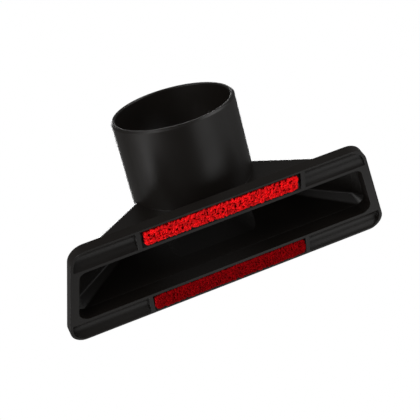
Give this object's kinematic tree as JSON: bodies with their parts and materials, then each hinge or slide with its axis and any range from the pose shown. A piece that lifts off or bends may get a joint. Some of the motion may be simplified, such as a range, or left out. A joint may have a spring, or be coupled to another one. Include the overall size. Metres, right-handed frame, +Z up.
{
  "type": "vacuum cleaner upholstery nozzle",
  "caption": "Wide flat suction nozzle with a slanted round neck, a long open mouth and a red pile strip set in each lip to lift lint.",
  "frame": {"origin": "middle of the mouth, in the plane of the sole", "axes": "+X along the mouth, -Y towards the side the neck leans to, +Z up from the sole into the hood"},
  "size_m": [0.1016, 0.0509, 0.0517],
  "materials": {
    "black_plastic": "injection moulded, fine satin grain",
    "red_pile": "short brushed pile, bright red"
  },
  "bodies": {
    "root": {"nozzle_body": "black_plastic", "front_lint_strip": "red_pile", "rear_lint_strip": "red_pile"}
  },
  "joints": []
}
